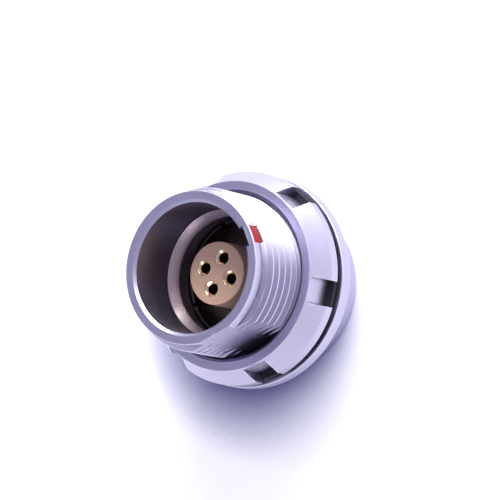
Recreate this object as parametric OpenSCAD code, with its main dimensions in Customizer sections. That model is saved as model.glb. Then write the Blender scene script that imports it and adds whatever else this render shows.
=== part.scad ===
// Circular connector receptacle for panel mounting: threaded barrel with two wrench flats,
// keyed latching socket with four contacts, slotted conical nut, tab washer and flange seal.
// Z is the mating axis with the mating face up. The origin is on that axis in the plane of the
// rear rim. The keyway and the index mark face -Y, the two flats face +X and -X.
// Heights in the modules are counted from the panel face of the flange and lifted by seated().

/* [Barrel] */
// Outside diameter of the barrel thread, mm
thread_od = 15; // [14.8:0.1:15.3]
// Pitch of the barrel thread, mm
thread_pitch = 1; // [0.75:0.25:1]
// Height of the mating face above the panel face, mm
barrel_len = 10.1; // [9.6:0.1:13]
// Length of the plain lead band in front of the thread, mm
lead_len = 1.1; // [0.8:0.1:1.5]
// Distance across the two wrench flats, mm
flats_af = 13.5; // [13.4:0.1:14.4]

/* [Flange and rear body] */
// Width of the flange's rim outside the thread, mm
flange_w = 2.4; // [2.2:0.1:4.5]
// Thickness of the flange, mm
flange_t = 1.3; // [1:0.1:2]
// Diameter of the rear body, mm
body_d = 15.4; // [15:0.1:16.6]
// Length from the panel face back to the rear rim, mm
rear_len = 6.2; // [6.1:0.1:8]
// Diameter of the rear bore, mm
rear_bore_d = 12.8; // [12.4:0.1:13.2]

/* [Mating socket] */
// Diameter of the socket bore, mm
bore_d = 11.9; // [11.6:0.1:12.1]
// Width of the keyway, mm
keyway_w = 2; // [1.4:0.1:2.4]
// Depth of the keyway beyond the socket bore, mm
keyway_depth = 0.45; // [0.3:0.05:0.5]
// Depth of the latch lip below the mating face, mm
lip_depth = 5.2; // [4.8:0.1:5.6]
// Diameter of the latch groove, mm
groove_d = 12.6; // [12.3:0.1:12.7]
// Diameter of the bore behind the latch groove, mm
cavity_d = 11.6; // [11.2:0.1:11.8]
// Depth of the socket below the mating face, mm
cavity_depth = 10.6; // [10.2:0.1:11]

/* [Index mark] */
// Width of the index mark, mm
mark_w = 1.75; // [1.2:0.05:2]
// Length of the index mark along the barrel, mm
mark_len = 1.3; // [0.8:0.1:1.6]

/* [Insert and contacts] */
// Diameter of the insert tower, mm
insert_d = 5.8; // [5.4:0.1:6.4]
// Depth of the insert face below the mating face, mm
insert_depth = 4.4; // [3.8:0.1:5]
// Diameter of the two insulator discs, mm
disc_d = 9.2; // [8.6:0.1:9.8]
// Thickness of each insulator disc, mm
disc_t = 1.2; // [1:0.05:1.3]
// Depth of the insert seat behind the panel face, mm
seat_depth = 1.7; // [1.6:0.1:2]
// Pitch circle diameter of the contacts, mm
contact_pcd = 3; // [2.9:0.1:3.4]
// Outside diameter of a contact, mm
contact_d = 1.5; // [1.4:0.05:1.55]
// Bore diameter of a contact, mm
contact_bore = 0.95; // [0.8:0.05:1]
// Distance the solder cups stay inside the rear rim, mm
cup_recess = 0.35; // [0.2:0.05:0.6]

/* [Nut] */
// Step from the flange's rim in to the nut's rim, mm
nut_step = 0.05; // [0.05:0.05:0.3]
// Diameter of the nut at its front face, mm
nut_front_d = 17.45; // [17:0.05:18]
// Thickness of the nut, mm
nut_t = 3.05; // [2.6:0.05:4]
// Height of the cylindrical band behind the cone of the nut, mm
nut_band = 1.05; // [0.6:0.05:1.6]
// Number of spanner slots in the nut
slot_count = 6; // [4:1:8]
// Width of a spanner slot, mm
slot_w = 2.4; // [1.6:0.1:3]

/* [Washer, seal and rear ring] */
// Step from the flange's rim in to the tab washer's rim, mm
washer_step = 0.4; // [0.3:0.05:0.8]
// Thickness of the tab washer, mm
washer_t = 0.4; // [0.3:0.05:0.6]
// Height of the flange seal above the panel face, mm
seal_proud = 0.3; // [0.2:0.05:0.4]
// Thickness of the rear retaining ring, mm
ring_t = 1.2; // [0.9:0.05:1.3]
// Width of the driver slots in the retaining ring, mm
ring_slot_w = 1.2; // [0.8:0.1:1.6]

/* [Clearances] */
// Radial clearance of the nut and washer round the barrel, mm
run_fit = 0.05; // [0.03:0.01:0.08]
// Clearance between parts seated in one another, mm
seat_fit = 0.02; // [0.01:0.01:0.04]

/* [Hidden] */
$fn = 72;
satin = [0.77, 0.76, 0.82];
thread_r = thread_od / 2;
flange_d = thread_od + 2 * flange_w;
root_r = thread_r - 0.6 * thread_pitch;
lead_r = thread_r - 0.525;
relief_len = 0.7;
thread_top = barrel_len - lead_len - 0.3;
turns = floor((thread_top - 0.2 - relief_len) / thread_pitch);
bore_r = bore_d / 2;
mark_r = lead_r + 0.01;
mark_floor_r = lead_r - 0.15;
mark_top = barrel_len - 0.18;
seal_in_r = thread_r + 0.3;
seal_out_r = thread_r + 1.1;
seal_bed = 0.5;
washer_d = flange_d - 2 * washer_step;
washer_z = seal_proud + seat_fit;
nut_d = flange_d - 2 * nut_step;
nut_z = washer_z + washer_t + seat_fit;
nut_top = nut_z + nut_t;
floor_z = barrel_len - cavity_depth;
insert_top = barrel_len - insert_depth;
seat_z = -seat_depth;
disc1_z = seat_z - seat_fit - disc_t;
disc2_z = disc1_z - seat_fit - disc_t;
gasket_t = 0.3;
gasket_z = disc2_z - seat_fit - gasket_t;
ring_z = gasket_z - seat_fit - ring_t;
contact_r = contact_d / 2;
mouth_z = insert_top - 0.06;
waist_top = mouth_z - 0.8 * contact_d;
waist_bottom = mouth_z - 2.8 * contact_d;
waist_r = 0.413 * contact_d;
shoulder_r = 0.6 * contact_d;
shoulder_t = 0.7;
cup_end = -(rear_len - cup_recess);
cup_bore_len = min(1.4, disc2_z - cup_end - 0.2);

// Lifts children from the panel face's heights to heights above the rear rim.
module seated() {
    translate([0, 0, rear_len]) children();
}

// Ring from one radius to another between two heights.
module ring(inner, outer, low, high) {
    translate([0, 0, low]) difference() {
        cylinder(r = outer, h = high - low);
        translate([0, 0, -1]) cylinder(r = inner, h = high - low + 2);
    }
}

// Places children at one of the four contact positions, turned so +X points outward.
module at_contact(number) {
    rotate([0, 0, 45 + 90 * (number - 1)]) translate([contact_pcd / 2, 0, 0]) children();
}

// Barrel with thread rings, lead band and edge chamfers, cut by the two flats.
module barrel() {
    grooves = [for (turn = [0 : turns - 1], corner = [0 : 3])
        let (z = thread_top - 0.15 - 0.38 * thread_pitch - turn * thread_pitch,
            dz = [0.36, 0.06, -0.06, -0.36][corner] * thread_pitch,
            r = (corner == 0 || corner == 3) ? thread_r : root_r)
        [r, z + dz]];
    profile = concat([[0, -0.4], [0, barrel_len], [lead_r - 0.1, barrel_len],
        [lead_r, barrel_len - 0.1], [lead_r, barrel_len - lead_len], [thread_r, thread_top]],
        grooves, [[thread_r, relief_len + 0.1], [root_r, relief_len], [root_r, -0.4]]);
    intersection() {
        rotate_extrude() polygon(profile);
        translate([-flats_af / 2, -20, -1]) cube([flats_af, 40, barrel_len + 2]);
    }
}

// Flange with edge bevels, joined by a small fillet cone to the rear body.
module flange_and_body() {
    flange_r = flange_d / 2;
    body_r = body_d / 2;
    rotate_extrude() polygon([[0, 0], [flange_r - 0.12, 0], [flange_r, -0.12],
        [flange_r, 0.12 - flange_t], [flange_r - 0.12, -flange_t], [body_r + 0.3, -flange_t],
        [body_r, -flange_t - 0.3], [body_r, 0.3 - rear_len], [body_r - 0.3, -rear_len],
        [0, -rear_len]]);
}

// Keyed latching socket: mouth chamfer, bore, lip, latch groove, ramp and the bore behind it.
module socket_hollow() {
    lip = barrel_len - lip_depth;
    rotate_extrude() polygon([[0, barrel_len + 1], [bore_r + 0.38, barrel_len + 1],
        [bore_r + 0.38, barrel_len], [bore_r, barrel_len - 0.31], [bore_r, lip],
        [groove_d / 2, lip - 0.4], [groove_d / 2, lip - 0.65], [cavity_d / 2, lip - 1.95],
        [cavity_d / 2, floor_z], [0, floor_z]]);
    translate([-keyway_w / 2, -bore_r - keyway_depth, barrel_len - lip_depth - 0.3])
        cube([keyway_w, bore_r, lip_depth + 1]);
}

module shell() {
    color(satin) seated() difference() {
        union() {
            barrel();
            flange_and_body();
        }
        socket_hollow();
        // passage for the insert tower through the web
        translate([0, 0, seat_z - 1]) cylinder(d = insert_d + 2 * seat_fit, h = cavity_depth);
        // rear bore with its lead-in
        translate([0, 0, -rear_len - 1]) cylinder(d = rear_bore_d, h = rear_len + 1 + seat_z);
        translate([0, 0, -rear_len]) cylinder(d1 = rear_bore_d + 0.4, d2 = rear_bore_d, h = 0.2);
        // bed of the flange seal
        ring(seal_in_r - seat_fit, seal_out_r + seat_fit, -seal_bed, 1);
        // pocket of the index mark
        translate([-mark_w / 2, -thread_r - 1, mark_top - mark_len])
            cube([mark_w, thread_r + 1 - mark_floor_r, mark_len]);
    }
}

module index_mark() {
    color([0.78, 0.07, 0.12]) seated() intersection() {
        translate([0, 0, mark_top - mark_len + seat_fit])
            cylinder(r = mark_r, h = mark_len - 2 * seat_fit);
        translate([seat_fit - mark_w / 2, -thread_r - 1, mark_top - mark_len])
            cube([mark_w - 2 * seat_fit, thread_r + 1 - mark_floor_r - seat_fit, mark_len]);
    }
}

// Conical round nut with spanner slots whose floors run parallel to the axis.
module slotted_nut() {
    bore = thread_r + run_fit;
    front_r = nut_front_d / 2;
    color(satin) seated() difference() {
        rotate_extrude() polygon([[bore, nut_z + 0.2], [bore + 0.2, nut_z],
            [nut_d / 2 - 0.12, nut_z], [nut_d / 2, nut_z + 0.12], [nut_d / 2, nut_z + nut_band],
            [front_r + 0.04, nut_top - 0.06], [front_r - 0.03, nut_top],
            [bore + 0.38, nut_top], [bore, nut_top - 0.38]]);
        for (slot = [0 : slot_count - 1])
            rotate([0, 0, 360 / slot_count * slot - 4.5])
                translate([front_r + 0.03, -slot_w / 2, nut_z - 1])
                    cube([nut_d, slot_w, nut_t + 2]);
    }
}

// Washer whose bore has two flats that ride on the barrel, with notched rim.
module lock_washer() {
    color([0.12, 0.12, 0.13]) seated() translate([0, 0, washer_z]) difference() {
        cylinder(d = washer_d, h = washer_t);
        translate([0, 0, -1]) intersection() {
            cylinder(r = thread_r + run_fit, h = 3);
            translate([-flats_af / 2 - run_fit, -15, 0]) cube([flats_af + 2 * run_fit, 30, 3]);
        }
        for (notch = [0 : 11])
            rotate([0, 0, 30 * notch + 15]) translate([washer_d / 2 - 0.35, -0.5, -1])
                cube([2, 1, 3]);
    }
}

module panel_seal() {
    color([0.05, 0.05, 0.06]) seated() rotate_extrude() polygon([[seal_in_r, seat_fit - seal_bed],
        [seal_out_r, seat_fit - seal_bed], [seal_out_r, seal_proud - 0.15],
        [seal_out_r - 0.2, seal_proud], [seal_in_r + 0.2, seal_proud],
        [seal_in_r, seal_proud - 0.15]]);
}

// Insulating tower on a disc, with stepped holes for the contacts.
module front_insulator() {
    color([0.80, 0.64, 0.53]) seated() difference() {
        rotate_extrude() polygon([[0, disc1_z], [disc_d / 2, disc1_z],
            [disc_d / 2, disc1_z + disc_t], [insert_d / 2, disc1_z + disc_t],
            [insert_d / 2, insert_top - 0.12], [insert_d / 2 - 0.12, insert_top],
            [0, insert_top]]);
        for (number = [1 : 4]) at_contact(number) {
            translate([0, 0, disc1_z - 1]) cylinder(r = contact_r + seat_fit, h = 20);
            translate([0, 0, disc1_z - 1])
                cylinder(r = shoulder_r + seat_fit, h = shoulder_t + 1 + seat_fit);
        }
        disc_notch(disc1_z);
    }
}

// Notch at +X in an insulator disc for the rib of the right carrier.
module disc_notch(low) {
    translate([disc_d / 2 - 0.4, -0.4, low - 1]) cube([2, 0.8, disc_t + 2]);
}

module rear_insulator() {
    color([0.80, 0.64, 0.53]) seated() difference() {
        translate([0, 0, disc2_z]) cylinder(d = disc_d, h = disc_t);
        for (number = [1 : 4]) at_contact(number)
            translate([0, 0, disc2_z - 1]) cylinder(r = contact_r - 0.05 + seat_fit, h = 4);
        disc_notch(disc2_z);
    }
}

// Socket contact: bell mouth, bored hood, slotted waist, shoulder and scooped solder cup.
module contact() {
    step = disc1_z + shoulder_t;
    difference() {
        rotate_extrude() polygon([[0, cup_end], [contact_r - 0.05, cup_end],
            [contact_r - 0.05, disc1_z], [shoulder_r, disc1_z], [shoulder_r, step],
            [contact_r, step], [contact_r, waist_bottom], [waist_r, waist_bottom],
            [waist_r, waist_top], [contact_r, waist_top], [contact_r, mouth_z - 0.05],
            [contact_r - 0.05, mouth_z], [0, mouth_z]]);
        translate([0, 0, mouth_z - 3.7 * contact_d]) cylinder(d = contact_bore, h = 4 * contact_d);
        translate([0, 0, mouth_z - 0.3])
            cylinder(d1 = contact_bore, d2 = contact_d - 0.25, h = 0.301);
        translate([-contact_d / 14, -contact_d, waist_bottom + contact_d / 7])
            cube([contact_d / 7, 2 * contact_d, 1.7 * contact_d]);
        translate([0, 0, cup_end - 1]) cylinder(d = contact_bore, h = cup_bore_len + 1);
        translate([contact_d / 6, -contact_d, cup_end - 1])
            cube([contact_d, 2 * contact_d, cup_bore_len * 0.65 + 1]);
    }
}

// Split spring sleeve round the waist of a contact.
module contact_clip() {
    difference() {
        ring(waist_r + 0.01, contact_r - 0.01, waist_bottom + seat_fit, waist_top - seat_fit);
        translate([0, -contact_d / 12, waist_bottom - contact_d])
            cube([contact_d, contact_d / 6, 4 * contact_d]);
    }
}

module contact_1() { color([0.83, 0.62, 0.30]) seated() at_contact(1) contact(); }
module contact_2() { color([0.83, 0.62, 0.30]) seated() at_contact(2) contact(); }
module contact_3() { color([0.83, 0.62, 0.30]) seated() at_contact(3) contact(); }
module contact_4() { color([0.83, 0.62, 0.30]) seated() at_contact(4) contact(); }
module contact_clip_1() { color([0.70, 0.55, 0.33]) seated() at_contact(1) contact_clip(); }
module contact_clip_2() { color([0.70, 0.55, 0.33]) seated() at_contact(2) contact_clip(); }
module contact_clip_3() { color([0.70, 0.55, 0.33]) seated() at_contact(3) contact_clip(); }
module contact_clip_4() { color([0.70, 0.55, 0.33]) seated() at_contact(4) contact_clip(); }

// Spring ring with eight inward fingers on the floor of the socket.
module earthing_crown() {
    r = cavity_d / 2 - seat_fit;
    low = floor_z + seat_fit;
    sheet = cavity_d / 50;
    inner = insert_d / 2 + 2.5 * sheet;
    color([0.62, 0.55, 0.45]) seated() difference() {
        rotate_extrude() polygon([[inner, low], [r, low], [r, low + 2.5 * sheet],
            [r - sheet, low + 5.5 * sheet], [r - sheet / 2, low + 8 * sheet],
            [r - 1.5 * sheet, low + 8 * sheet], [r - 2 * sheet, low + 5.5 * sheet],
            [r - sheet, low + 2.5 * sheet], [r - sheet, low + sheet], [inner, low + sheet]]);
        for (finger = [0 : 7])
            rotate([0, 0, 45 * finger]) translate([r - 4 * sheet, -sheet, low + 2 * sheet])
                cube([8 * sheet, 2 * sheet, 8 * sheet]);
    }
}

// One half of the split carrier ring that centres the insulator discs.
module carrier_half() {
    intersection() {
        ring(disc_d / 2 + seat_fit, rear_bore_d / 2 - seat_fit, disc2_z, seat_z - seat_fit);
        translate([0.05, -rear_bore_d, disc2_z - 1]) cube([rear_bore_d, 2 * rear_bore_d, 5]);
    }
}

module carrier_left() {
    color([0.72, 0.71, 0.76]) seated() mirror([1, 0, 0]) carrier_half();
}

module carrier_right() {
    color([0.72, 0.71, 0.76]) seated() union() {
        carrier_half();
        translate([disc_d / 2 - 0.4 + seat_fit, seat_fit - 0.4, disc2_z])
            cube([0.6, 0.8 - 2 * seat_fit, seat_z - seat_fit - disc2_z]);
    }
}

module rear_gasket() {
    color([0.07, 0.07, 0.08]) seated()
        ring(disc_d / 2 - 0.5, rear_bore_d / 2 - seat_fit, gasket_z, gasket_z + gasket_t);
}

// Threaded ring with four driver slots that clamps the insert from behind.
module retaining_ring() {
    outer = rear_bore_d / 2 - seat_fit;
    inner = disc_d / 2 - 0.4;
    color([0.74, 0.73, 0.78]) seated() difference() {
        rotate_extrude() polygon([[inner, ring_z + 0.2], [inner + 0.2, ring_z],
            [outer - 0.15, ring_z], [outer, ring_z + 0.15], [outer, ring_z + ring_t],
            [inner, ring_z + ring_t]]);
        for (turn = [0, 90])
            rotate([0, 0, turn]) translate([-rear_bore_d, -ring_slot_w / 2, ring_z - 1])
                cube([2 * rear_bore_d, ring_slot_w, 0.45 * ring_t + 1]);
    }
}

shell();
index_mark();
slotted_nut();
lock_washer();
panel_seal();
front_insulator();
rear_insulator();
contact_1();
contact_2();
contact_3();
contact_4();
contact_clip_1();
contact_clip_2();
contact_clip_3();
contact_clip_4();
earthing_crown();
carrier_left();
carrier_right();
rear_gasket();
retaining_ring();
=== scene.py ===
"""Panel connector receptacle: the visible pieces, their finishes, the stage and the camera.

The sizes and colours are properties of the scene, each group of pieces is made by one operator,
and main() calls the operators in order. Properties and finished meshes are in metres. The mesh
helpers work in millimetres, with heights counted from the flange's panel face and angles about Z
from +X. The keyway and the index mark face -Y, the wrench flat faces -X.
"""
from math import asin, atan2, ceil, cos, pi, sin, tau

import bmesh
import bpy
from bpy.props import FloatProperty, FloatVectorProperty, IntProperty, PointerProperty
from mathutils import Matrix, Vector


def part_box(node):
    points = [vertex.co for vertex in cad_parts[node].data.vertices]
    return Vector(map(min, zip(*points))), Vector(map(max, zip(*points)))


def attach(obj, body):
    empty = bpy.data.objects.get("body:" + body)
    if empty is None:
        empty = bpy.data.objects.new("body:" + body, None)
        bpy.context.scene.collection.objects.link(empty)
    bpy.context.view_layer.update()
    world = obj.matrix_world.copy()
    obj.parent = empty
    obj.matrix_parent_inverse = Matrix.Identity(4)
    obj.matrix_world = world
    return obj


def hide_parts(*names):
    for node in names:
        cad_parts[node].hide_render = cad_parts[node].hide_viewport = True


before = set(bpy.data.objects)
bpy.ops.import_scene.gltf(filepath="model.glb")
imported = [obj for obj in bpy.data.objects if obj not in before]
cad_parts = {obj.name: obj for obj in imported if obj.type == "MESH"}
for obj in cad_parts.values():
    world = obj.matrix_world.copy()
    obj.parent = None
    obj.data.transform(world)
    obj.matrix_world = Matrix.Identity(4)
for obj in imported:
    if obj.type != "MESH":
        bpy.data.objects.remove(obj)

bl_info = {
    "name": "Panel connector receptacle",
    "version": (1, 0, 0),
    "blender": (4, 5, 0),
    "location": "View3D > Sidebar > Connector",
    "description": "Builds a threaded panel connector with its nut, insert and contacts",
    "category": "Add Mesh",
}

MM = 0.001
RIM_Z = 6.2                 # height of the flange's panel face above the rear rim, mm
FRONT_Z = 16.3              # height of the mating face above the rear rim, mm
TOP = FRONT_Z - RIM_Z       # height of the mating face above the panel face, mm
RUN_FIT = 0.05              # radial clearance of the nut and washer round the barrel, mm
CONTACTS = 4


def length(name, description, mm):
    """A length property whose default is given in millimetres."""
    return FloatProperty(name=name, description=description, default=mm * MM, unit="LENGTH",
                         precision=5)


def colour(name, description, rgb):
    """A linear colour property."""
    return FloatVectorProperty(name=name, description=description, default=rgb, size=3,
                               subtype="COLOR", min=0, max=1)


class ConnectorSizes(bpy.types.PropertyGroup):
    """Sizes of the visible pieces."""
    thread_d: length("Thread diameter", "Over the crests of the barrel thread", 15.0)
    thread_pitch: length("Thread pitch", "Advance of the thread in one turn", 1.0)
    thread_depth: length("Thread depth", "From crest to root", 0.61)
    thread_start: length("Thread start", "Height of the crest line at +X, within one pitch", 0.21)
    lead_d: length("Lead band diameter", "Plain band in front of the thread", 13.95)
    lead_len: length("Lead band length", "From the mating face to the thread", 1.1)
    flat: length("Axis to flat", "Distance from the mating axis to the wrench flat", 6.75)
    bore_d: length("Socket bore", "Diameter of the mating socket", 11.9)
    lip_depth: length("Latch lip depth", "From the mating face to the latch lip", 5.2)
    groove_d: length("Latch groove", "Diameter of the latch groove", 12.6)
    key_width: length("Keyway width", "Width of the keyway in the socket bore", 2.0)
    key_depth: length("Keyway depth", "Depth of the keyway beyond the bore", 0.45)
    flange_d: length("Flange diameter", "Outside diameter of the flange", 19.8)
    flange_t: length("Flange thickness", "Thickness of the flange", 1.3)
    body_d: length("Rear body diameter", "Diameter behind the flange", 15.4)
    nut_d: length("Nut diameter", "Largest diameter of the nut", 19.7)
    nut_front_d: length("Nut front diameter", "Where the cone meets the front face", 17.45)
    nut_t: length("Nut thickness", "Thickness of the nut", 3.05)
    nut_band: length("Nut band", "Height of the band behind the cone", 1.05)
    slot_width: length("Spanner slot width", "Width of a spanner slot", 2.4)
    slot_count: IntProperty(name="Spanner slots", description="Number of slots", default=6,
                            min=2, max=12)
    insert_d: length("Insert diameter", "Diameter of the insulating tower", 5.8)
    insert_depth: length("Insert depth", "From the mating face to the insert's face", 4.4)
    contact_circle: length("Contact circle", "Pitch circle of the contacts", 3.0)
    contact_bore: length("Contact bore", "Bore of a contact", 0.95)
    mouth_d: length("Contact mouth", "Outside diameter of a contact's mouth", 1.5)
    mark_width: length("Index mark width", "Width of the red index mark", 1.75)
    mark_len: length("Index mark length", "Length of the mark along the barrel", 1.3)


class ConnectorFinishes(bpy.types.PropertyGroup):
    """Colours of the finishes."""
    plating: colour("Satin plating", "Shell and nut", (0.55, 0.535, 0.68))
    # the ramp is warmer and darker than the plating, the darkness partly painted shade in the
    # socket
    burnished: colour("Burnished ramp", "Latch ramp in the socket", (0.47, 0.385, 0.39))
    inner_plating: colour("Inner plating", "Carriers and retaining ring", (0.52, 0.50, 0.62))
    gilt: colour("Gilt", "Contacts", (0.86, 0.64, 0.40))
    # painted shade: the clips and crown deep in the socket are made near black to read as the
    # socket's shade
    bronze: colour("Spring bronze", "Clips and earthing crown", (0.10, 0.075, 0.065))
    insulator: colour("Insulator", "Insert tower and disc", (0.65, 0.43, 0.285))
    enamel: colour("Index enamel", "Index mark", (0.27, 0.004, 0.005))
    # the washer's near-black is partly its oxide and partly painted shade of the gap between nut
    # and flange
    black_oxide: colour("Black oxide", "Washer", (0.009, 0.0085, 0.012))
    rubber: colour("Rubber", "Seal and gasket", (0.016, 0.015, 0.018))
    floor: colour("Floor", "Stage under the part", (0.60, 0.60, 0.68))


class Millimetres:
    """The scene's sizes, with every length in millimetres and counts as they are."""

    def __getattr__(self, name):
        value = getattr(bpy.context.scene.connector_sizes, name)
        return value if isinstance(value, int) else value / MM


def tint_of(name):
    """Colour of a finish, as a tuple."""
    return tuple(getattr(bpy.context.scene.connector_finishes, name))


# ---------------------------------------------------------------- shader groups and finishes

def new_group(name, inputs, outputs):
    """Empty shader group with float or colour sockets: inputs as name: default."""
    tree = bpy.data.node_groups.new(name, "ShaderNodeTree")
    for label, value in inputs.items():
        kind = "NodeSocketColor" if isinstance(value, tuple) else "NodeSocketFloat"
        socket = tree.interface.new_socket(name=label, in_out="INPUT", socket_type=kind)
        socket.default_value = (*value, 1.0) if isinstance(value, tuple) else value
    for label, kind in outputs.items():
        tree.interface.new_socket(name=label, in_out="OUTPUT", socket_type=kind)
    return tree, tree.nodes.new("NodeGroupInput"), tree.nodes.new("NodeGroupOutput")


def math_node(tree, operation, first, second=None):
    """Output of a Math node; the values are numbers or sockets."""
    node = tree.nodes.new("ShaderNodeMath")
    node.operation = operation
    for socket, value in zip(node.inputs, (first, second)):
        if isinstance(value, (int, float)):
            socket.default_value = value
        elif value is not None:
            tree.links.new(value, socket)
    return node.outputs[0]


def noise_node(tree, vector, scale, detail=3.0, rough=0.55):
    """Output of a Noise Texture; the scale is a number or a socket."""
    node = tree.nodes.new("ShaderNodeTexNoise")
    node.inputs["Detail"].default_value = detail
    node.inputs["Roughness"].default_value = rough
    if isinstance(scale, (int, float)):
        node.inputs["Scale"].default_value = scale
    else:
        tree.links.new(scale, node.inputs["Scale"])
    tree.links.new(vector, node.inputs["Vector"])
    return node.outputs["Fac"]


def mix_colour(tree, factor, first, second):
    """Output of a colour Mix node; the values are numbers, colours or sockets."""
    node = tree.nodes.new("ShaderNodeMix")
    node.data_type = "RGBA"
    for socket, value in ((node.inputs[0], factor), (node.inputs[6], first),
                          (node.inputs[7], second)):
        if isinstance(value, bpy.types.NodeSocket):
            tree.links.new(value, socket)
        elif isinstance(value, (int, float)):
            socket.default_value = value
        else:
            socket.default_value = (*value, 1.0)
    return node.outputs[2]


def map_range(tree, value, low, high, to_low=0.0, to_high=1.0, smooth=False):
    """A socket's value carried from one range to another and held at its ends."""
    node = tree.nodes.new("ShaderNodeMapRange")
    if smooth:
        node.interpolation_type = "SMOOTHSTEP"
    for label, number in (("From Min", low), ("From Max", high), ("To Min", to_low),
                          ("To Max", to_high)):
        node.inputs[label].default_value = number
    tree.links.new(value, node.inputs["Value"])
    return node.outputs[0]


def per_mm(tree, socket):
    """A scale given per millimetre as the scale per metre of the Object coordinates."""
    return math_node(tree, "MULTIPLY", socket, 1000.0)


def swing(tree, noise, depth):
    """A noise about its middle, times a depth."""
    return math_node(tree, "MULTIPLY", math_node(tree, "SUBTRACT", noise, 0.5), depth)


def tool_mark_group():
    """Fine marks left by turning: rings round the axis, broken up by a slower drift."""
    tree, given, result = new_group(
        "Tool marks", {"Rings per mm": 6.0, "Ring depth": 0.35, "Drift": 0.5,
                       "Specks per mm": 6.0, "Speck depth": 0.7},
        {"Mask": "NodeSocketFloat", "Height": "NodeSocketFloat"})
    place = tree.nodes.new("ShaderNodeTexCoord").outputs["Object"]
    split = tree.nodes.new("ShaderNodeSeparateXYZ")
    tree.links.new(place, split.inputs[0])
    x, y, z = split.outputs
    radius = math_node(tree, "SQRT", math_node(
        tree, "ADD", math_node(tree, "MULTIPLY", x, x), math_node(tree, "MULTIPLY", y, y)))
    turned = tree.nodes.new("ShaderNodeCombineXYZ")
    tree.links.new(radius, turned.inputs[0])
    # the angle counts a little, so that a ring changes slowly along its way round
    tree.links.new(math_node(tree, "MULTIPLY", math_node(tree, "ARCTAN2", y, x), 0.00002),
                   turned.inputs[1])
    tree.links.new(z, turned.inputs[2])
    rings = noise_node(tree, turned.outputs[0], per_mm(tree, given.outputs["Rings per mm"]), 2.0)
    drift = noise_node(tree, place, 420.0, 4.0, 0.6)
    specks = noise_node(tree, place, per_mm(tree, given.outputs["Specks per mm"]), 1.0)
    ring_part = swing(tree, rings, given.outputs["Ring depth"])
    drift_part = swing(tree, drift, given.outputs["Drift"])
    speck_part = swing(tree, specks, given.outputs["Speck depth"])
    mask = math_node(tree, "ADD", math_node(tree, "ADD", ring_part, drift_part),
                     math_node(tree, "ADD", speck_part, 0.5))
    tree.links.new(mask, result.inputs["Mask"])
    tree.links.new(math_node(tree, "ADD", ring_part, math_node(tree, "MULTIPLY", speck_part, 0.5)),
                   result.inputs["Height"])
    return tree


def edge_wear_and_light_group():
    """Masks from mark_edges: outer edges, broken up in patches, for rubbed wear and painted
    highlight, and hollows for painted shade.
    """
    tree, given, result = new_group(
        "Edge wear", {"Patchiness": 0.5, "Patches per mm": 1.2},
        {"Edge": "NodeSocketFloat", "Hollow": "NodeSocketFloat"})
    place = tree.nodes.new("ShaderNodeTexCoord").outputs["Object"]
    patches = noise_node(tree, place, per_mm(tree, given.outputs["Patches per mm"]))
    for name, socket in (("outer_edge", "Edge"), ("inner_edge", "Hollow")):
        stored = tree.nodes.new("ShaderNodeAttribute")
        stored.attribute_name = name
        value = stored.outputs["Fac"]
        if socket == "Edge":
            value = math_node(tree, "MULTIPLY", value, math_node(
                tree, "SUBTRACT", 1.0, math_node(tree, "MULTIPLY", patches,
                                                 given.outputs["Patchiness"])))
        tree.links.new(value, result.inputs[socket])
    return tree


def grain_group():
    """Fine even grain of a moulded, painted or oxidised surface, with faint mottling."""
    tree, given, result = new_group(
        "Fine grain", {"Grains per mm": 9.0, "Mottle": 0.5},
        {"Mask": "NodeSocketFloat", "Height": "NodeSocketFloat"})
    place = tree.nodes.new("ShaderNodeTexCoord").outputs["Object"]
    fine = noise_node(tree, place, per_mm(tree, given.outputs["Grains per mm"]), 2.0)
    slow = noise_node(tree, place, 700.0)
    mask = math_node(tree, "ADD", math_node(tree, "MULTIPLY", slow, given.outputs["Mottle"]),
                     math_node(tree, "MULTIPLY", fine, math_node(
                         tree, "SUBTRACT", 1.0, given.outputs["Mottle"])))
    tree.links.new(mask, result.inputs["Mask"])
    tree.links.new(fine, result.inputs["Height"])
    return tree


def place_group(tree, name, maker, **values):
    """Node of the shader group of that name, which is made on first use, with its own values."""
    node = tree.nodes.new("ShaderNodeGroup")
    node.node_tree = bpy.data.node_groups.get(name) or maker()
    for label, value in values.items():
        node.inputs[label.replace("_", " ")].default_value = value
    return node


def new_material(name):
    """Material with a Principled shader: returns (material, tree, shader)."""
    material = bpy.data.materials.new(name)
    material.use_nodes = True
    tree = material.node_tree
    return material, tree, tree.nodes["Principled BSDF"]


def surface(tree, shader, colour_out, marks, rough, bump):
    """Joins colour, roughness range and bump to the shader; marks is the group's node."""
    tree.links.new(colour_out, shader.inputs["Base Color"])
    tree.links.new(rough, shader.inputs["Roughness"])
    relief = tree.nodes.new("ShaderNodeBump")
    relief.inputs["Strength"].default_value = bump
    relief.inputs["Distance"].default_value = 0.01 * MM
    tree.links.new(marks.outputs["Height"], relief.inputs["Height"])
    tree.links.new(relief.outputs[0], shader.inputs["Normal"])


def shade(tint, factor):
    """A colour made lighter or darker."""
    return [min(1, c * factor) for c in tint]


def turned_metal(name, tint, rough=(0.26, 0.44), rings=6.0, hollow_shade=0.3, bump=0.25):
    """Turned and plated metal: ring marks, outer edges lighter as rubbed wear and painted
    highlight, hollows darker as painted shade.
    """
    found = bpy.data.materials.get(name)
    if found:
        return found
    material, tree, shader = new_material(name)
    shader.inputs["Metallic"].default_value = 1.0
    marks = place_group(tree, "Tool marks", tool_mark_group, Rings_per_mm=rings)
    wear = place_group(tree, "Edge wear", edge_wear_and_light_group)
    base = mix_colour(tree, marks.outputs["Mask"], shade(tint, 0.90), shade(tint, 1.06))
    # outer edges lighter: partly rubbed plating, partly painted highlight
    worn_and_lit = mix_colour(tree, wear.outputs["Edge"], base, shade(tint, 1.6))
    # painted shade: hollows darkened by how far the surface folds inwards
    full = mix_colour(tree, wear.outputs["Hollow"], worn_and_lit, shade(tint, hollow_shade))
    surface(tree, shader, full, marks,
            map_range(tree, marks.outputs["Mask"], 0.2, 0.8, *rough), bump)
    return material


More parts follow.
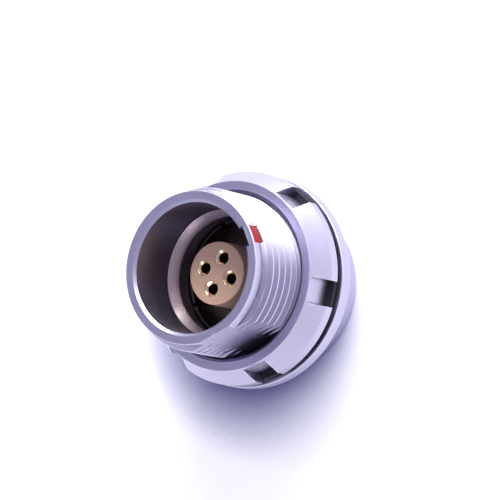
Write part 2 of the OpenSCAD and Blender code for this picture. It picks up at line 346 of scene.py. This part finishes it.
def grained(name, tint, rough, grains, bump=0.2, edge_wear_and_highlight=1.3, contrast=0.14, specular=0.5):
    """Moulded, painted, oxidised or rubber surface with fine grain, and outer edges lighter as
    rubbing and painted highlight.
    """
    found = bpy.data.materials.get(name)
    if found:
        return found
    material, tree, shader = new_material(name)
    shader.inputs["Specular IOR Level"].default_value = specular
    grain = place_group(tree, "Fine grain", grain_group, Grains_per_mm=grains)
    wear = place_group(tree, "Edge wear", edge_wear_and_light_group)
    base = mix_colour(tree, grain.outputs["Mask"], shade(tint, 1 - contrast),
                      shade(tint, 1 + contrast))
    # outer edges lighter: partly rubbing, partly painted highlight
    worn_and_lit = mix_colour(tree, wear.outputs["Edge"], base, shade(tint, edge_wear_and_highlight))
    surface(tree, shader, worn_and_lit, grain,
            map_range(tree, grain.outputs["Mask"], 0.3, 0.7, *rough), bump)
    return material


def plating():
    return turned_metal("Satin plating", tint_of("plating"))


def burnished():
    return turned_metal("Burnished ramp", tint_of("burnished"), rough=(0.2, 0.3), bump=0.1)


def inner_plating():
    return turned_metal("Inner plating", tint_of("inner_plating"), rough=(0.34, 0.5))


def gilt():
    return turned_metal("Gilt", tint_of("gilt"), rough=(0.13, 0.24), rings=22.0,
                        hollow_shade=0.6, bump=0.12)


# painted shade: this near-black bronze stands in for the shade deep in the socket
def shade_darkened_bronze():
    return turned_metal("Spring bronze", tint_of("bronze"), rough=(0.3, 0.46), rings=20.0)


def insulator_plastic():
    return grained("Insulator plastic", tint_of("insulator"), (0.42, 0.58), 7.0, bump=0.15,
                   edge_wear_and_highlight=1.12, contrast=0.08)


def index_enamel():
    return grained("Index enamel", tint_of("enamel"), (0.3, 0.45), 5.0, bump=0.1, contrast=0.2,
                   specular=0.2)


def black_oxide():
    return grained("Black oxide", tint_of("black_oxide"), (0.5, 0.66), 12.0, edge_wear_and_highlight=1.6)


def seal_rubber():
    return grained("Seal rubber", tint_of("rubber"), (0.62, 0.8), 8.0, edge_wear_and_highlight=1.4)


# ---------------------------------------------------------------- mesh helpers, in millimetres

def fillet(points, steps=5, closed=False):
    """Outline with each (r, z, radius) corner rounded; a corner without radius stays."""
    result = []
    count = len(points)
    for i, point in enumerate(points):
        radius = point[2] if len(point) > 2 else 0.0
        here = Vector(point[:2])
        if radius <= 0 or (not closed and i in (0, count - 1)):
            result.append(tuple(here))
            continue
        back = Vector(points[i - 1][:2]) - here
        ahead = Vector(points[(i + 1) % count][:2]) - here
        turn = back.angle(ahead)
        reach = min(radius / max(1e-6, abs(sin(turn / 2) / cos(turn / 2)))
                    if turn < pi - 1e-4 else 0.0, back.length * 0.48, ahead.length * 0.48)
        start = here + back.normalized() * reach
        end = here + ahead.normalized() * reach
        for k in range(steps + 1):
            t = k / steps
            result.append(tuple(start * (1 - t) ** 2 + here * 2 * t * (1 - t) + end * t ** 2))
    return result


def spread(outline, step, closed):
    """Outline with points added: no stretch is longer than step, and next to a corner none is
    longer than a third of it, so that edge wear stays at the edges."""
    result = []
    for i, here in enumerate(outline):
        result.append(here)
        if i == len(outline) - 1 and not closed:
            break
        here, ahead = Vector(here), Vector(outline[(i + 1) % len(outline)])
        gap = (ahead - here).length
        if gap > step / 2:
            edge = min(step / 3, gap / 3) / gap
            count = ceil(gap * (1 - 2 * edge) / step)
            result += [tuple(here.lerp(ahead, edge + (1 - 2 * edge) * k / count))
                       for k in range(count + 1)]
    return result


def lathe(mesh, outline, segments, closed=True, step=0.4):
    """Adds the outline turned about Z to a bmesh; corners on the axis become one vertex."""
    rows = []
    outline = spread(outline, step, closed)
    for r, z in outline:
        if r < 1e-6:
            rows.append([mesh.verts.new((0, 0, z))] * segments)
        else:
            rows.append([mesh.verts.new((r * cos(tau * k / segments),
                                         r * sin(tau * k / segments), z))
                         for k in range(segments)])
    pairs = list(zip(rows, rows[1:])) + ([(rows[-1], rows[0])] if closed else [])
    for low, high in pairs:
        for k in range(segments):
            n = (k + 1) % segments
            corners = []
            for vertex in (low[k], low[n], high[n], high[k]):
                if vertex not in corners:
                    corners.append(vertex)
            if len(corners) > 2:
                mesh.faces.new(corners)
    return rows


def join_rings(mesh, rings, closed=True):
    """Adds the faces between each ring of vertices and the next, and the last and the first.
    Rings that aren't closed are strips."""
    for low, high in zip(rings, rings[1:] + rings[:1]):
        for k in range(len(low) if closed else len(low) - 1):
            n = (k + 1) % len(low)
            mesh.faces.new((low[k], low[n], high[n], high[k]))


def box_cutter(name, low, high, turn=0.0, step=0.3):
    """Box object between two corners, turned about Z, for use as a cutter. Its faces are
    divided, so that the walls it leaves are too. Heights count from the rear rim."""
    mesh = bmesh.new()
    bmesh.ops.create_cube(mesh, size=1.0)
    size = Vector(high) - Vector(low)
    middle = (Vector(high) + Vector(low)) / 2
    mesh.transform(Matrix.Translation(middle) @ Matrix.Diagonal((*size, 1)))
    for axis in range(3):
        count = ceil(size[axis] / step)
        for k in range(1, count):
            at, along = Vector((0, 0, 0)), Vector((0, 0, 0))
            at[axis], along[axis] = low[axis] + size[axis] * k / count, 1
            bmesh.ops.bisect_plane(mesh, geom=mesh.verts[:] + mesh.edges[:] + mesh.faces[:],
                                   dist=1e-6, plane_co=at, plane_no=along)
    mesh.transform(Matrix.Rotation(turn, 4, "Z") @ Matrix.Scale(MM, 4))
    return object_from(mesh, name)


def object_from(mesh, name):
    """Object from a bmesh already in metres; the bmesh is freed."""
    data = bpy.data.meshes.new(name)
    mesh.to_mesh(data)
    mesh.free()
    made = bpy.data.objects.new(name, data)
    bpy.context.scene.collection.objects.link(made)
    return made


def piece_from(mesh, name):
    """Object from a bmesh in millimetres whose heights count from the panel face."""
    bmesh.ops.remove_doubles(mesh, verts=mesh.verts, dist=1e-5)
    bmesh.ops.dissolve_degenerate(mesh, edges=mesh.edges, dist=1e-5)
    bmesh.ops.recalc_face_normals(mesh, faces=mesh.faces)
    mesh.transform(Matrix.Scale(MM, 4) @ Matrix.Translation((0, 0, RIM_Z)))
    return object_from(mesh, name)


def node_span(node):
    """Lowest and highest point of a node above the panel face, and its reach along +X, in mm."""
    lowest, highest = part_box(node)
    return lowest[2] / MM - RIM_Z, highest[2] / MM - RIM_Z, highest[0] / MM


def apply_modifiers(target):
    """Replaces the mesh by what its modifiers make of it."""
    graph = bpy.context.evaluated_depsgraph_get()
    old = target.data
    target.data = bpy.data.meshes.new_from_object(target.evaluated_get(graph))
    target.modifiers.clear()
    bpy.data.meshes.remove(old)


def cut(target, cutters):
    """Cuts each cutter out of the target and removes the cutters."""
    for cutter in cutters:
        tool = target.modifiers.new("Cut", "BOOLEAN")
        tool.operation = "DIFFERENCE"
        tool.solver = "EXACT"
        tool.object = cutter
    apply_modifiers(target)
    for cutter in cutters:
        data = cutter.data
        bpy.data.objects.remove(cutter)
        bpy.data.meshes.remove(data)


def soften(target, width=0.05, limit=28, segments=3):
    """Rounds the sharp edges a little, width in millimetres."""
    tool = target.modifiers.new("Soft edges", "BEVEL")
    tool.width = width * MM
    tool.segments = segments
    tool.limit_method = "ANGLE"
    tool.angle_limit = limit * pi / 180
    tool.use_clamp_overlap = True
    apply_modifiers(target)


def mark_edges(target, least=0.12, full=0.35):
    """Stores on each vertex how far its surface folds outwards and inwards, as 0 to 1. A fold
    below the least angle counts as none, and one at the full angle as 1."""
    mesh = bmesh.new()
    mesh.from_mesh(target.data)
    outer, inner = [0.0] * len(mesh.verts), [0.0] * len(mesh.verts)
    for edge in mesh.edges:
        fold = edge.calc_face_angle_signed(0.0) if edge.is_manifold else 0.0
        if abs(fold) > least:
            store, value = (outer, fold) if fold > 0 else (inner, -fold)
            for v in edge.verts:
                store[v.index] = max(store[v.index], min(1.0, value / full))
    mesh.free()
    for name, values in (("outer_edge", outer), ("inner_edge", inner)):
        target.data.attributes.new(name, "FLOAT", "POINT").data.foreach_set("value", values)


def dress(target, material, body, *nodes):
    """Shades and paints the finished piece, and hands it to the frame."""
    mark_edges(target)
    target.data.materials.clear()
    target.data.materials.append(material)
    for face in target.data.polygons:
        face.use_smooth = True
        face.material_index = 0
    target.data.set_sharp_from_angle(angle=22 * pi / 180)
    even = target.modifiers.new("Even shading", "WEIGHTED_NORMAL")
    even.keep_sharp = True
    even.weight = 50
    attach(target, body)
    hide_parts(*nodes)


# ---------------------------------------------------------------- the pieces

def smooth_clip(value, low, high, soft):
    """value held between low and high with rounded corners."""
    def blend_min(a, b):
        h = max(soft - abs(a - b), 0) / soft
        return min(a, b) - h * h * soft / 4
    return -blend_min(-blend_min(value, high), -low)


def thread_radius(turns, crest, depth, pitch):
    """Radius of a 60 degree thread at a distance from a crest line, counted in pitches."""
    off = abs(turns - round(turns)) * pitch
    flank = crest - (off - pitch / 16) * 1.732      # the crest's flat is an eighth of the pitch
    return smooth_clip(flank, crest - depth, crest, 0.09 * pitch)


# places along one pitch at which the thread's outline is followed, closest where it bends
THREAD_STEPS = (0.0, 0.05, 0.075, 0.11, 0.17, 0.25, 0.33, 0.385, 0.415, 0.45,
                0.5, 0.55, 0.585, 0.615, 0.67, 0.75, 0.83, 0.89, 0.925, 0.95)
RELIEF_TOP = 0.7            # top of the plain relief between flange and thread, mm
RUN_OUT = 1.75              # slope at which the thread runs out into the lead band
BARREL_FOOT = -0.3          # the barrel reaches this far into the flange, mm
RAMP = (0.65, 1.42)         # depths below the latch lip between which the ramp lies, mm
RAMP_R = 5.5                # radius at the narrow end of the ramp, mm
BACK_R = 5.8                # radius of the bore behind the ramp, mm
JOINT_R = 6.5               # radius at which barrel and flange overlap inside the wall, mm
REAR_BORE_R = 6.4
SEAT_Z = -1.7               # seat of the insert in the shell
DISC_TOP, DISC_FOOT = -1.72, -2.92      # front insulator's disc
REAR_DISC_FOOT = -4.14


def barrel_mesh(s, segments=324):
    """Closed barrel, still without flat, keyway and mark pocket: helical thread, lead band,
    mouth and latching socket."""
    crest, pitch, depth = s.thread_d / 2, s.thread_pitch, s.thread_depth
    lead_r, lead_z, start = s.lead_d / 2, TOP - s.lead_len, s.thread_start
    bore_r, groove_r, lip_z = s.bore_d / 2, s.groove_d / 2, TOP - s.lip_depth
    first, last = -2, int((lead_z - start) / pitch) + 2
    steps = [k + step for k in range(first, last) for step in THREAD_STEPS]
    mesh = bmesh.new()

    def vertex(angle, turn, step):
        z = min(max(start + pitch * (step + turn), BARREL_FOOT), lead_z)
        r = thread_radius((z - start) / pitch - turn, crest, depth, pitch)
        if z < RELIEF_TOP:
            r = crest - depth
        r = min(r, lead_r + (lead_z - z) * RUN_OUT)
        return mesh.verts.new((r * cos(angle), r * sin(angle), z))

    columns = [[vertex(tau * k / segments, k / segments, step) for step in steps]
               for k in range(segments)]
    for k in range(segments):
        # after a whole turn the thread has risen by one pitch
        shift = len(THREAD_STEPS) if k == segments - 1 else 0
        near, far = columns[k], columns[(k + 1) % segments]
        for i in range(len(steps) - 1 - shift):
            mesh.faces.new((near[i], far[i + shift], far[i + 1 + shift], near[i + 1]))
    bmesh.ops.remove_doubles(mesh, verts=mesh.verts, dist=2e-4)
    rows = lathe(mesh, fillet([
        (lead_r, lead_z), (lead_r, TOP, 0.09), (bore_r + 0.27, TOP, 0.03),
        (bore_r, TOP - 0.23, 0.05), (bore_r, lip_z, 0.05), (groove_r, lip_z - 0.4, 0.05),
        (groove_r, lip_z - RAMP[0], 0.05), (RAMP_R, lip_z - RAMP[1], 0.04),
        (RAMP_R, lip_z - 1.8, 0.04), (BACK_R, lip_z - 1.95), (BACK_R, BARREL_FOOT)]),
        segments, closed=False)
    # close the threaded wall at its foot and at its step to the lead band
    for z, ring in ((BARREL_FOOT, rows[-1]), (lead_z, rows[0])):
        edge = [v for v in mesh.verts if abs(v.co.z - z) < 1e-5 and v.is_boundary
                and v.co.xy.length > crest - depth - 0.1 and v not in rows[0]]
        edge.sort(key=lambda v: atan2(v.co.y, v.co.x) % tau)
        if len(edge) != segments:
            raise RuntimeError(f"barrel end at {z}: {len(edge)} against {segments}")
        shift = min(range(segments), key=lambda i: (
            edge[i].co - Vector((edge[i].co.xy.length, 0, z))).length)
        for k in range(segments):
            n = (k + 1) % segments
            mesh.faces.new((edge[(k + shift) % segments], edge[(n + shift) % segments],
                            ring[n], ring[k]))
    return mesh


class CONNECTOR_OT_shell(bpy.types.Operator):
    """Makes the shell: threaded barrel with flat and keyway, flange and rear body"""
    bl_idname = "connector.shell"
    bl_label = "Shell"

    def execute(self, context):
        s = Millimetres()
        barrel = piece_from(barrel_mesh(s), "shell_barrel")
        key, deep, lip = s.key_width / 2, s.bore_d / 2 + s.key_depth, FRONT_Z - s.lip_depth
        mark, pocket_r, mark_top = s.mark_width / 2, s.lead_d / 2 - 0.15, FRONT_Z - 0.18
        cut(barrel, [
            box_cutter("flat", (-8, -4, RIM_Z - 1), (-s.flat, 4, FRONT_Z + 0.5)),
            box_cutter("keyway", (-key, -deep, lip - 0.3), (key, -2, FRONT_Z + 2)),
            box_cutter("mark_pocket", (-mark, -9, mark_top - s.mark_len),
                       (mark, -pocket_r, mark_top))])
        dress(barrel, plating(), "housing", "shell")
        self.burnish(barrel, (lip - RAMP[1]) * MM, (lip - RAMP[0]) * MM,
                     (s.groove_d / 2 + 0.02) * MM)
        flange, body, thick = s.flange_d / 2, s.body_d / 2, s.flange_t
        hole, floor = s.insert_d / 2 + 0.02, -0.5
        seal_in, seal_out = s.thread_d / 2 + 0.28, s.thread_d / 2 + 1.12
        mesh = bmesh.new()
        lathe(mesh, fillet([
            (JOINT_R, 0.0), (seal_in, 0.0, 0.03), (seal_in, -0.5), (seal_out, -0.5),
            (seal_out, 0.0, 0.03), (flange, 0.0, 0.12), (flange, -thick, 0.12),
            (body + 0.25, -thick, 0.05), (body, -thick - 0.25, 0.2), (body, -RIM_Z, 0.28),
            (REAR_BORE_R + 0.2, -RIM_Z, 0.04), (REAR_BORE_R, 0.2 - RIM_Z, 0.04),
            (REAR_BORE_R, SEAT_Z), (hole, SEAT_Z, 0.05), (hole, floor, 0.1), (BACK_R, floor),
            (BACK_R, BARREL_FOOT), (JOINT_R, BARREL_FOOT)], closed=True), 256)
        dress(piece_from(mesh, "shell_flange"), plating(), "housing", "shell")
        return {"FINISHED"}

    def burnish(self, barrel, low, high, reach):
        """Gives the latch ramp its own glossier finish, darker than the plating partly as painted
        shade; heights and reach from the axis in metres.
        """
        barrel.data.materials.append(burnished())
        for face in barrel.data.polygons:
            if low < face.center.z < high and face.center.xy.length < reach:
                face.material_index = 1


class CONNECTOR_OT_index_mark(bpy.types.Operator):
    """Makes the red enamel mark that lies in its pocket on the lead band"""
    bl_idname = "connector.index_mark"
    bl_label = "Index mark"

    def execute(self, context):
        s = Millimetres()
        half, inner, outer = s.mark_width / 2 - 0.02, s.lead_d / 2 - 0.13, s.lead_d / 2 + 0.015
        top = TOP - 0.2
        bottom = top - s.mark_len + 0.04
        reach, count = asin(half / outer), 16
        mesh = bmesh.new()
        rings = [[mesh.verts.new((r * sin(reach * (2 * k / count - 1)),
                                  -r * cos(reach * (2 * k / count - 1)), z))
                  for k in range(count + 1)]
                 for r, z in ((inner, bottom), (outer, bottom), (outer, top), (inner, top))]
        join_rings(mesh, rings, closed=False)
        for k in (0, count):
            mesh.faces.new([ring[k] for ring in rings])
        mark = piece_from(mesh, "index_enamel")
        soften(mark)
        dress(mark, index_enamel(), "housing", "index_mark")
        return {"FINISHED"}


class CONNECTOR_OT_nut(bpy.types.Operator):
    """Makes the conical nut with its spanner slots"""
    bl_idname = "connector.nut"
    bl_label = "Slotted nut"

    def execute(self, context):
        s = Millimetres()
        low = node_span("slotted_nut")[0]
        high = low + s.nut_t
        front, wide, bore = s.nut_front_d / 2, s.nut_d / 2, s.thread_d / 2 + RUN_FIT
        mesh = bmesh.new()
        lathe(mesh, [(bore, low + 0.2), (bore + 0.2, low), (wide - 0.07, low),
                     (wide, low + 0.07), (wide, low + s.nut_band), (front, high),
                     (bore + 0.38, high), (bore, high - 0.38)], 240)
        nut = piece_from(mesh, "slotted_nut_body")
        half, base, first = s.slot_width / 2, front + 0.03, -4.5 * pi / 180
        cut(nut, [box_cutter(f"slot_{k}", (base, -half, RIM_Z - 1), (wide + 2, half, RIM_Z + 9),
                             tau * k / s.slot_count + first)
                  for k in range(s.slot_count)])
        soften(nut, 0.07)
        dress(nut, plating(), "nut", "slotted_nut")
        return {"FINISHED"}


class CONNECTOR_OT_washer_and_seal(bpy.types.Operator):
    """Makes the black washer that rides on the flat and the flange's rubber seal"""
    bl_idname = "connector.washer_and_seal"
    bl_label = "Washer and seal"

    def execute(self, context):
        s = Millimetres()
        low, high, outer = node_span("lock_washer")
        bore, flat, count = s.thread_d / 2 + RUN_FIT, s.flat + RUN_FIT, 360

        def edge(inside, angle):
            if inside:
                return min(bore, flat / max(1e-6, -cos(angle)))
            # a shallow notch at every 30 degrees
            notch = abs((angle - pi / 12) % (pi / 6) - pi / 12) > pi / 12 - 0.058
            return outer - (0.35 if notch else 0.0)

        mesh = bmesh.new()
        join_rings(mesh, [
            [mesh.verts.new((edge(inside, tau * k / count) * cos(tau * k / count),
                             edge(inside, tau * k / count) * sin(tau * k / count), z))
             for k in range(count)]
            for inside, z in ((True, low), (False, low), (False, high), (True, high))])
        washer = piece_from(mesh, "tab_washer")
        soften(washer, 0.04, 40, 2)
        dress(washer, black_oxide(), "washer", "lock_washer")
        near, far = s.thread_d / 2 + 0.3, s.thread_d / 2 + 1.1
        mesh = bmesh.new()
        lathe(mesh, fillet([(near, -0.48, 0.05), (far, -0.48, 0.05), (far, 0.3, 0.2),
                            (near, 0.3, 0.2)], closed=True), 192)
        dress(piece_from(mesh, "flange_seal"), seal_rubber(), "housing", "panel_seal")
        return {"FINISHED"}


def contact_angle(k):
    """Angle of a contact about Z: the first is 45 degrees from +X."""
    return pi / 4 + k * tau / CONTACTS


def to_contact(mesh, k, circle):
    """Moves a bmesh made on the axis to its place on the contacts' pitch circle."""
    mesh.transform(Matrix.Rotation(contact_angle(k), 4, "Z")
                   @ Matrix.Translation((circle / 2, 0, 0)))


class CONNECTOR_OT_insert(bpy.types.Operator):
    """Makes the insulating tower with its four contact holes"""
    bl_idname = "connector.insert"
    bl_label = "Insert tower"

    def execute(self, context):
        s = Millimetres()
        r, top, hole = s.insert_d / 2, TOP - s.insert_depth, s.mouth_d / 2 + 0.02
        mesh = bmesh.new()
        lathe(mesh, fillet([(0, DISC_FOOT), (4.6, DISC_FOOT, 0.1), (4.6, DISC_TOP, 0.1),
                            (r, DISC_TOP), (r, top, 0.13), (0, top)]), 144, closed=False)
        tower = piece_from(mesh, "insert_tower")
        holes = []
        for k in range(CONTACTS):
            drill = bmesh.new()
            lathe(drill, [(0, -4), (hole, -4), (hole, top - 0.02), (hole + 0.05, top + 0.03),
                          (hole + 0.05, 9), (0, 9)], 48, closed=False)
            to_contact(drill, k, s.contact_circle)
            holes.append(piece_from(drill, f"drill_{k}"))
        cut(tower, holes)
        dress(tower, insulator_plastic(), "housing", "front_insulator")
        return {"FINISHED"}


class CONNECTOR_OT_contacts(bpy.types.Operator):
    """Makes the four gilt socket contacts with bell mouths and solder cups"""
    bl_idname = "connector.contacts"
    bl_label = "Contacts"

    def execute(self, context):
        s = Millimetres()
        outer, bore, circle = s.mouth_d / 2, s.contact_bore / 2, s.contact_circle
        end, mouth, _ = node_span("contact_1")
        cup = min(1.4, REAR_DISC_FOOT - end - 0.2)
        shank, collar, waist = outer - 0.05, outer + 0.15, outer - 0.13
        outline = fillet([
            # solder cup, collar between the insulators, waist under the clip, bell mouth, socket
            (0, end + cup), (bore, end + cup), (bore, end, 0.03), (shank, end, 0.04),
            (shank, DISC_FOOT), (collar, DISC_FOOT, 0.04), (collar, DISC_FOOT + 0.7, 0.04),
            (outer, DISC_FOOT + 0.7), (outer, mouth - 4.2), (waist, mouth - 4.2),
            (waist, mouth - 1.2), (outer, mouth - 1.2), (outer, mouth, 0.06),
            (outer - 0.05, mouth, 0.05), (bore, mouth - 0.21, 0.06), (bore, mouth - 5.6),
            (0, mouth - 5.6)], steps=4)
        for k in range(CONTACTS):
            mesh = bmesh.new()
            lathe(mesh, outline, 64, closed=False)
            to_contact(mesh, k, circle)
            contact = piece_from(mesh, f"gilt_contact_{k + 1}")
            cut(contact, [box_cutter("scoop", (circle / 2 + 0.25, -1, RIM_Z + end - 1),
                                     (circle / 2 + 2, 1, RIM_Z + end + cup * 0.65),
                                     contact_angle(k))])
            dress(contact, gilt(), "housing", f"contact_{k + 1}")
        return {"FINISHED"}


class CONNECTOR_OT_inner_parts(bpy.types.Operator):
    """Makes the retaining ring and paints the inner parts kept from the frame"""
    bl_idname = "connector.inner_parts"
    bl_label = "Inner parts"

    def execute(self, context):
        low, high, outer = node_span("retaining_ring")
        mesh = bmesh.new()
        lathe(mesh, [(4.2, low + 0.2), (4.4, low), (outer - 0.15, low), (outer, low + 0.15),
                     (outer, high), (4.2, high)], 192)
        ring = piece_from(mesh, "rear_retaining_ring")
        cut(ring, [box_cutter(f"driver_slot_{k}", (-9, -0.6, RIM_Z + low - 1),
                              (9, 0.6, RIM_Z + low + 0.55), k * pi / 2) for k in range(2)])
        soften(ring, 0.06)
        dress(ring, inner_plating(), "housing", "retaining_ring")
        kept = {"rear_insulator": insulator_plastic, "rear_gasket": seal_rubber,
                "carrier_left": inner_plating, "carrier_right": inner_plating,
                "earthing_crown": shade_darkened_bronze}
        kept.update({f"contact_clip_{k + 1}": shade_darkened_bronze for k in range(CONTACTS)})
        for node, finish in kept.items():
            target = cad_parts[node]
            target.data.materials.clear()
            target.data.materials.append(finish())
        return {"FINISHED"}


# ---------------------------------------------------------------- stage and camera

SHADOW_REACH = 0.0098               # how far the painted shadow reaches round a piece, metres
SHADOW_LEAN = (0.12, -0.87, 0.48)   # the painted shadow leans away from this side
SHADOW_TINT = (0.075, 0.07, 0.27)
SHADOW_GLOW = (0.60, 0.58, 1.0)
FLOOR_GLOW = 0.62                   # glow of the open floor, which brings it to white
HORIZON = (0.93, 0.91, 1.02)        # the room's light near the floor
ZENITH = (0.43, 0.415, 0.57)        # and overhead
AIM = (0, 0, 0.009)                 # the point the lamps look at, inside the barrel


class CONNECTOR_OT_stage(bpy.types.Operator):
    """Makes the floor, the lamps and the pale surroundings"""
    bl_idname = "connector.stage"
    bl_label = "Stage"

    def execute(self, context):
        scene = context.scene
        scene.view_settings.view_transform = "Standard"
        mesh = bmesh.new()
        bmesh.ops.create_circle(mesh, cap_ends=True, segments=96, radius=0.4)
        ground = object_from(mesh, "stage_floor")
        ground.data.materials.append(self.floor_material())
        scene.world = self.room()
        self.lamp("fill_softbox", (0.093, -0.215, 0.26), 0.12, 0.12, (1.0, 0.98, 0.95))
        self.lamp("key_softbox", (0.23, -0.175, 0.135), 0.2, 1.5, (1.0, 0.98, 0.94))
        return {"FINISHED"}

    def floor_material(self):
        """Pale floor, white in the open, with a painted shadow close to the part, seen from above
        only.
        """
        material, tree, shader = new_material("Pale floor")
        shader.inputs["Roughness"].default_value = 0.9
        shader.inputs["Specular IOR Level"].default_value = 0.0
        near = tree.nodes.new("ShaderNodeAmbientOcclusion")
        near.samples = 16
        near.inputs["Distance"].default_value = SHADOW_REACH
        lean = tree.nodes.new("ShaderNodeCombineXYZ")
        for socket, value in zip(lean.inputs, SHADOW_LEAN):
            socket.default_value = value
        tree.links.new(lean.outputs[0], near.inputs["Normal"])
        # painted shadow: where the occlusion finds the part near, the floor's colour and glow turn
        # to the shadow tint
        clear = map_range(tree, near.outputs["AO"], 0.43, 0.97, smooth=True)
        tint = tint_of("floor")
        drift = noise_node(tree, tree.nodes.new("ShaderNodeTexCoord").outputs["Object"], 30.0)
        open_floor = mix_colour(tree, drift, tint, shade(tint, 0.985))
        tree.links.new(mix_colour(tree, clear, SHADOW_TINT, open_floor),
                       shader.inputs["Base Color"])
        glow, path = tree.nodes.new("ShaderNodeEmission"), tree.nodes.new("ShaderNodeLightPath")
        tree.links.new(mix_colour(tree, clear, SHADOW_GLOW, (1.0, 1.0, 1.0)),
                       glow.inputs["Color"])
        # the glow is only for rays that look at the floor, so it doesn't light the part
        seen = math_node(tree, "MINIMUM", 1.0, math_node(
            tree, "ADD", path.outputs["Is Camera Ray"], math_node(
                tree, "ADD", path.outputs["Is Glossy Ray"],
                path.outputs["Is Transmission Ray"])))
        tree.links.new(math_node(tree, "MULTIPLY", seen, math_node(
            tree, "MULTIPLY", clear, FLOOR_GLOW)), glow.inputs["Strength"])
        both, one_sided = (tree.nodes.new("ShaderNodeAddShader"),
                           tree.nodes.new("ShaderNodeMixShader"))
        tree.links.new(shader.outputs[0], both.inputs[0])
        tree.links.new(glow.outputs[0], both.inputs[1])
        tree.links.new(tree.nodes.new("ShaderNodeNewGeometry").outputs["Backfacing"],
                       one_sided.inputs[0])
        tree.links.new(both.outputs[0], one_sided.inputs[1])
        tree.links.new(tree.nodes.new("ShaderNodeBsdfTransparent").outputs[0],
                       one_sided.inputs[2])
        tree.links.new(one_sided.outputs[0], tree.nodes["Material Output"].inputs["Surface"])
        return material

    def room(self):
        """World that lights from pale at the horizon to darker overhead, and is seen white."""
        world = bpy.data.worlds.new("Pale room")
        world.use_nodes = True
        tree = world.node_tree
        nodes, links = tree.nodes, tree.links
        nodes.clear()
        light, seen = nodes.new("ShaderNodeBackground"), nodes.new("ShaderNodeBackground")
        split = nodes.new("ShaderNodeSeparateXYZ")
        links.new(nodes.new("ShaderNodeTexCoord").outputs["Generated"], split.inputs[0])
        level = map_range(tree, split.outputs[2], 0.02, 0.75, smooth=True)
        links.new(mix_colour(tree, level, HORIZON, ZENITH), light.inputs["Color"])
        seen.inputs["Color"].default_value = (1, 1, 1, 1)
        for background in (light, seen):
            background.inputs["Strength"].default_value = 1.0
        path, mixed = nodes.new("ShaderNodeLightPath"), nodes.new("ShaderNodeMixShader")
        links.new(path.outputs["Is Camera Ray"], mixed.inputs[0])
        links.new(light.outputs[0], mixed.inputs[1])
        links.new(seen.outputs[0], mixed.inputs[2])
        links.new(mixed.outputs[0], nodes.new("ShaderNodeOutputWorld").inputs[0])
        return world

    def lamp(self, name, place, size, power, tint):
        """Square softbox at a place, aimed at the part; lengths in metres, power in watts."""
        data = bpy.data.lights.new(name, "AREA")
        data.size = size
        data.energy = power
        data.color = tint
        lamp = bpy.data.objects.new(name, data)
        bpy.context.scene.collection.objects.link(lamp)
        lamp.location = place
        lamp.rotation_euler = (Vector(AIM) - Vector(place)).to_track_quat("-Z", "Y").to_euler()


class CONNECTOR_OT_camera(bpy.types.Operator):
    """Places a long lens above the mating face, rolled so that the barrel points to the left"""
    bl_idname = "connector.camera"
    bl_label = "Camera"

    def execute(self, context):
        data = bpy.data.cameras.new("camera")
        data.sensor_width = 36.0
        data.lens = 288.0
        data.clip_end = 10.0
        camera = bpy.data.objects.new("camera", data)
        context.scene.collection.objects.link(camera)
        right = Vector((-0.31653, -0.78343, -0.53483))
        back = Vector((-0.33290, -0.43622, 0.83600))
        place = Vector((-0.11975, -0.16140, 0.29724 + FRONT_Z * MM))
        turn = Matrix((right, back.cross(right), back)).transposed().to_4x4()
        camera.matrix_world = Matrix.Translation(place) @ turn
        context.scene.camera = camera
        return {"FINISHED"}


class CONNECTOR_PT_panel(bpy.types.Panel):
    """Lists the operators and the sizes and finishes they use."""
    bl_idname = "CONNECTOR_PT_panel"
    bl_label = "Panel connector"
    bl_space_type = "VIEW_3D"
    bl_region_type = "UI"
    bl_category = "Connector"

    def draw(self, context):
        for operator in OPERATORS:
            self.layout.operator(operator.bl_idname)
        for group in (context.scene.connector_sizes, context.scene.connector_finishes):
            box = self.layout.box()
            for name in group.__annotations__:
                box.prop(group, name)


# main() calls them in this order
OPERATORS = (CONNECTOR_OT_camera, CONNECTOR_OT_shell, CONNECTOR_OT_index_mark, CONNECTOR_OT_nut,
             CONNECTOR_OT_washer_and_seal, CONNECTOR_OT_insert, CONNECTOR_OT_contacts,
             CONNECTOR_OT_inner_parts, CONNECTOR_OT_stage)
CLASSES = (ConnectorSizes, ConnectorFinishes, *OPERATORS, CONNECTOR_PT_panel)


def register():
    for each in CLASSES:
        bpy.utils.register_class(each)
    bpy.types.Scene.connector_sizes = PointerProperty(type=ConnectorSizes)
    bpy.types.Scene.connector_finishes = PointerProperty(type=ConnectorFinishes)


def unregister():
    del bpy.types.Scene.connector_finishes
    del bpy.types.Scene.connector_sizes
    for each in reversed(CLASSES):
        bpy.utils.unregister_class(each)


def main():
    """Registers the classes and makes the camera, every piece and the stage."""
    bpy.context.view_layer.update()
    register()
    for operator in OPERATORS:
        group, name = operator.bl_idname.split(".")
        getattr(getattr(bpy.ops, group), name)()


if __name__ == "__main__":
    main()
